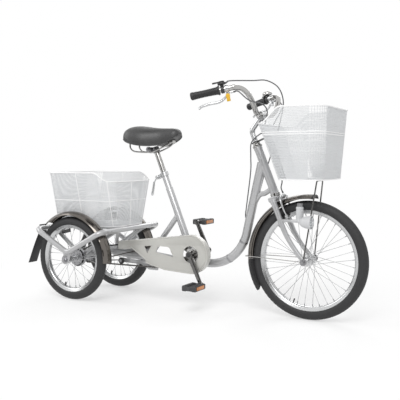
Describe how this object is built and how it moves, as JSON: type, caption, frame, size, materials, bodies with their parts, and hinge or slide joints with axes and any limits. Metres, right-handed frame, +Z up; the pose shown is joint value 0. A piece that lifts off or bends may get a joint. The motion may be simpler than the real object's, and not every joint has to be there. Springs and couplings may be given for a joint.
{
  "type": "adult tricycle",
  "caption": "Low-step adult tricycle with a small front wheel, loop rear frame, leaning main frame, chain case, mudguards and wire baskets front and back.",
  "frame": {"origin": "on the floor under the middle of the box round the whole tricycle", "axes": "+X forward, +Y to the rider's left, +Z up"},
  "size_m": [1.6156, 0.5744, 0.9865],
  "materials": {
    "aluminium": "satin",
    "black_plastic": "matt black",
    "champagne_paint": "warm silver paint",
    "chrome": "bright plate",
    "grey_plastic": "pale grey",
    "saddle_vinyl": "dark grey vinyl",
    "silver_paint": "silver paint",
    "steel": "plain steel",
    "tyre_rubber": "matt black",
    "white_wire": "white coated wire",
    "yellow_plastic": "yellow"
  },
  "bodies": {
    "steering": {"basket_bracket": "black_plastic", "basket_stay": "chrome", "bell": "aluminium", "brake_perch_left": "aluminium", "brake_perch_right": "aluminium", "fork": "silver_paint", "front_axle": "steel", "front_basket": "white_wire", "front_brake_cable": "black_plastic", "front_fender": "chrome", "front_fender_stay": "chrome", "front_flap": "black_plastic", "grip_left": "black_plastic", "grip_right": "black_plastic", "handlebar": "chrome", "headset_top": "chrome", "rear_brake_cable": "black_plastic", "shift_cable": "black_plastic", "shifter_body": "black_plastic", "stem": "aluminium"},
    "bell_lever": {"bell_lever": "black_plastic"},
    "main_frame": {"bottom_bracket": "steel", "chain": "steel", "chain_case": "champagne_paint", "main_frame": "silver_paint", "seat_clamp": "aluminium"},
    "rear_frame": {"brake_cover": "steel", "rear_basket": "white_wire", "rear_fender_left": "chrome", "rear_fender_right": "chrome", "rear_flap_left": "black_plastic", "rear_flap_right": "black_plastic", "rear_frame": "silver_paint"},
    "brake_lever_left": {"brake_lever_left": "aluminium"},
    "brake_lever_right": {"brake_lever_right": "aluminium"},
    "caliper_left": {"caliper_arm_left": "aluminium"},
    "caliper_right": {"caliper_arm_right": "aluminium"},
    "crank": {"crank_left": "chrome", "crank_right": "chrome"},
    "dynamo": {"dynamo_lamp": "grey_plastic"},
    "dynamo_roller": {"dynamo_roller": "steel"},
    "front_wheel": {"front_tyre": "tyre_rubber", "front_wheel": "aluminium"},
    "left_wheel": {"left_tyre": "tyre_rubber", "left_wheel": "aluminium"},
    "lock_tab": {"parking_lock": "yellow_plastic"},
    "pedal_left": {"pedal_left": "black_plastic"},
    "pedal_right": {"pedal_right": "black_plastic"},
    "right_wheel": {"rear_axle": "steel", "right_tyre": "tyre_rubber", "right_wheel": "aluminium"},
    "seat": {"saddle": "saddle_vinyl", "saddle_clamp": "steel", "saddle_rails": "chrome", "seat_post": "chrome"},
    "clamp_lever": {"seat_clamp_lever": "aluminium"},
    "shift_lever": {"shift_lever": "black_plastic"},
    "sprocket": {"sprocket": "steel"},
    "pulley": {"tension_pulley": "black_plastic"}
  },
  "joints": [
    {"name": "lean", "type": "hinge", "parent": "main_frame", "child": "rear_frame", "pos_m": [-0.34975, 0, 0.215], "axis": [1, 0, 0], "range_deg": [-12, 12], "stiffness_Nm_per_rad": 220, "deforming": ["chain", "rear_brake_cable"]},
    {"name": "steer", "type": "hinge", "parent": "main_frame", "child": "steering", "pos_m": [0.40833, 0, 0.51701], "axis": [-0.3795, 0, 0.9252], "range_deg": [-50, 50], "deforming": ["rear_brake_cable", "shift_cable"]},
    {"name": "front_wheel_spin", "type": "hinge", "parent": "steering", "child": "front_wheel", "pos_m": [0.56025, 0, 0.2475], "axis": [0, 1, 0], "continuous": true},
    {"name": "right_wheel_spin", "type": "hinge", "parent": "rear_frame", "child": "right_wheel", "pos_m": [-0.54975, -0.18, 0.197], "axis": [0, 1, 0], "continuous": true},
    {"name": "left_wheel_spin", "type": "hinge", "parent": "rear_frame", "child": "left_wheel", "pos_m": [-0.54975, 0.18, 0.197], "axis": [0, 1, 0], "continuous": true},
    {"name": "sprocket_spin", "type": "hinge", "parent": "rear_frame", "child": "sprocket", "pos_m": [-0.54975, -0.06, 0.197], "axis": [0, 1, 0], "continuous": true},
    {"name": "crank_spin", "type": "hinge", "parent": "main_frame", "child": "crank", "pos_m": [0.03825, 0, 0.242], "axis": [0, 1, 0], "continuous": true},
    {"name": "pedal_right_spin", "type": "hinge", "parent": "crank", "child": "pedal_right", "pos_m": [0.09631, -0.148, 0.11461], "axis": [0, 1, 0], "continuous": true},
    {"name": "pedal_left_spin", "type": "hinge", "parent": "crank", "child": "pedal_left", "pos_m": [-0.0198, 0.148, 0.36939], "axis": [0, 1, 0], "continuous": true},
    {"name": "pulley_spin", "type": "hinge", "parent": "main_frame", "child": "pulley", "pos_m": [-0.35175, -0.06, 0.18296], "axis": [0, 1, 0], "continuous": true},
    {"name": "seat_height", "type": "slide", "parent": "main_frame", "child": "seat", "axis": [-0.3778, 0, 0.9259], "range_m": [-0.04, 0.08]},
    {"name": "clamp_lever", "type": "hinge", "parent": "main_frame", "child": "clamp_lever", "pos_m": [-0.17689, 0, 0.58171], "axis": [0, 1, 0], "range_deg": [0, 150]},
    {"name": "brake_lever_right", "type": "hinge", "parent": "steering", "child": "brake_lever_right", "pos_m": [0.29668, -0.22078, 0.9146], "axis": [-0.3532, 0.9356, 0], "range_deg": [0, 10], "stiffness_Nm_per_rad": 1.2, "springref_deg": -4.58},
    {"name": "brake_lever_left", "type": "hinge", "parent": "steering", "child": "brake_lever_left", "pos_m": [0.29668, 0.22078, 0.9146], "axis": [0.3532, 0.9356, 0], "range_deg": [0, 10], "stiffness_Nm_per_rad": 1.2, "springref_deg": -4.58},
    {"name": "parking_lock", "type": "hinge", "parent": "steering", "child": "lock_tab", "pos_m": [0.29668, -0.22078, 0.9146], "axis": [-0.3532, 0.9356, 0], "range_deg": [0, 40]},
    {"name": "shift_lever", "type": "hinge", "parent": "steering", "child": "shift_lever", "pos_m": [0.27585, -0.22864, 0.9392], "axis": [-0.1839, -0.0694, 0.9805], "range_deg": [-15, 55]},
    {"name": "bell_lever", "type": "hinge", "parent": "steering", "child": "bell_lever", "pos_m": [0.27197, 0.23011, 0.95989], "axis": [-0.1839, 0.0694, 0.9805], "range_deg": [0, 25], "stiffness_Nm_per_rad": 0.05, "springref_deg": -5.73},
    {"name": "caliper_right", "type": "hinge", "parent": "steering", "child": "caliper_right", "pos_m": [0.43914, 0, 0.50776], "axis": [0.9252, 0, 0.3795], "range_deg": [0, 1.6]},
    {"name": "caliper_left", "type": "hinge", "parent": "steering", "child": "caliper_left", "pos_m": [0.44608, 0, 0.5106], "axis": [-0.9252, 0, -0.3795], "range_deg": [0, 1.6]},
    {"name": "dynamo_tilt", "type": "hinge", "parent": "steering", "child": "dynamo", "pos_m": [0.50225, -0.0475, 0.412], "axis": [-1, 0, 0], "range_deg": [0, 6]},
    {"name": "dynamo_roller_spin", "type": "hinge", "parent": "dynamo", "child": "dynamo_roller", "pos_m": [0.53625, -0.0475, 0.44], "axis": [0, 0, 1], "continuous": true}
  ],
  "couplings": [
    {"joint": "sprocket_spin", "follows": "crank_spin", "ratio": 2.0625},
    {"joint": "pulley_spin", "follows": "crank_spin", "ratio": 4.0486},
    {"joint": "caliper_right", "follows": "brake_lever_right", "ratio": 0.16},
    {"joint": "caliper_left", "follows": "brake_lever_right", "ratio": 0.16}
  ]
}
